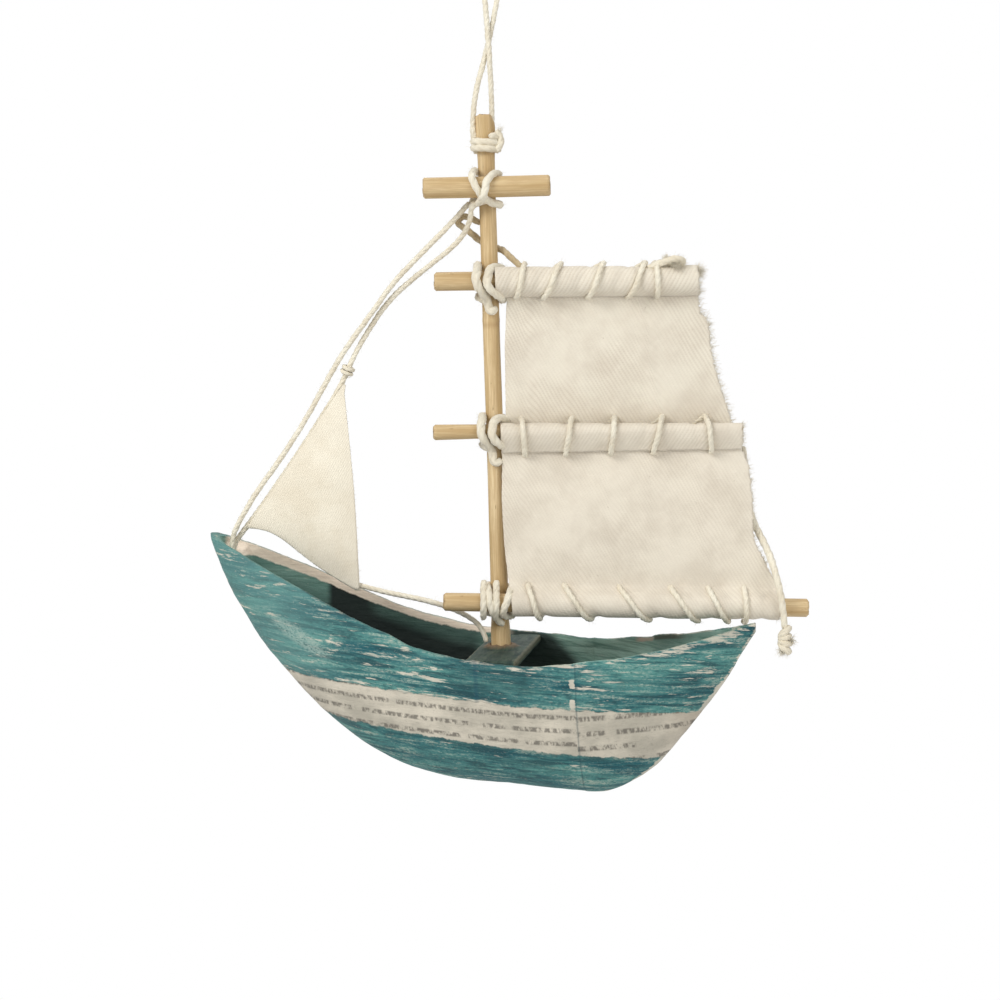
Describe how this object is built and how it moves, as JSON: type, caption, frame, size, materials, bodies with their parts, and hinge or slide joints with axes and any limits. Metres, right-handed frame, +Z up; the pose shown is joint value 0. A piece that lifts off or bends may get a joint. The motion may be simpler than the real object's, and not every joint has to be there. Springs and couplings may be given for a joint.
{
  "type": "paper ship ornament",
  "caption": "Hanging ship ornament with a papier-mache hull, a bamboo mast and yards, cloth sails laced to their yards, a small jib and cord rigging.",
  "frame": {"origin": "the hang point: the inner top of the hanger's loop", "axes": "+Z up along the mast, bow towards -X, stern towards +X, the sails on the -Y side of the mast"},
  "size_m": [0.1207, 0.0368, 0.1706],
  "materials": {
    "painted_paper": "matt paint over paper strips",
    "bamboo": "raw",
    "sail_cloth": "matt twill",
    "jib_cloth": "matt plain weave",
    "cord": "matt twisted cotton"
  },
  "bodies": {
    "root": {"boom": "bamboo", "boom_lashing": "cord", "forestay_inner": "cord", "forestay_outer": "cord", "hanger_cord": "cord", "hull": "painted_paper", "jib": "jib_cloth", "jib_head_knot": "cord", "jib_sheet": "cord", "leech_knot": "cord", "leech_tail": "cord", "lower_lacing": "cord", "lower_sail": "sail_cloth", "mast": "bamboo", "masthead_lashing": "cord", "middle_lacing": "cord", "middle_yard": "bamboo", "middle_yard_lashing": "cord", "stay_hitch": "cord", "thwart": "painted_paper", "top_yard": "bamboo", "top_yard_lashing": "cord", "upper_lacing": "cord", "upper_lacing_knot": "cord", "upper_sail": "sail_cloth", "upper_yard": "bamboo", "upper_yard_lashing": "cord"}
  },
  "joints": []
}
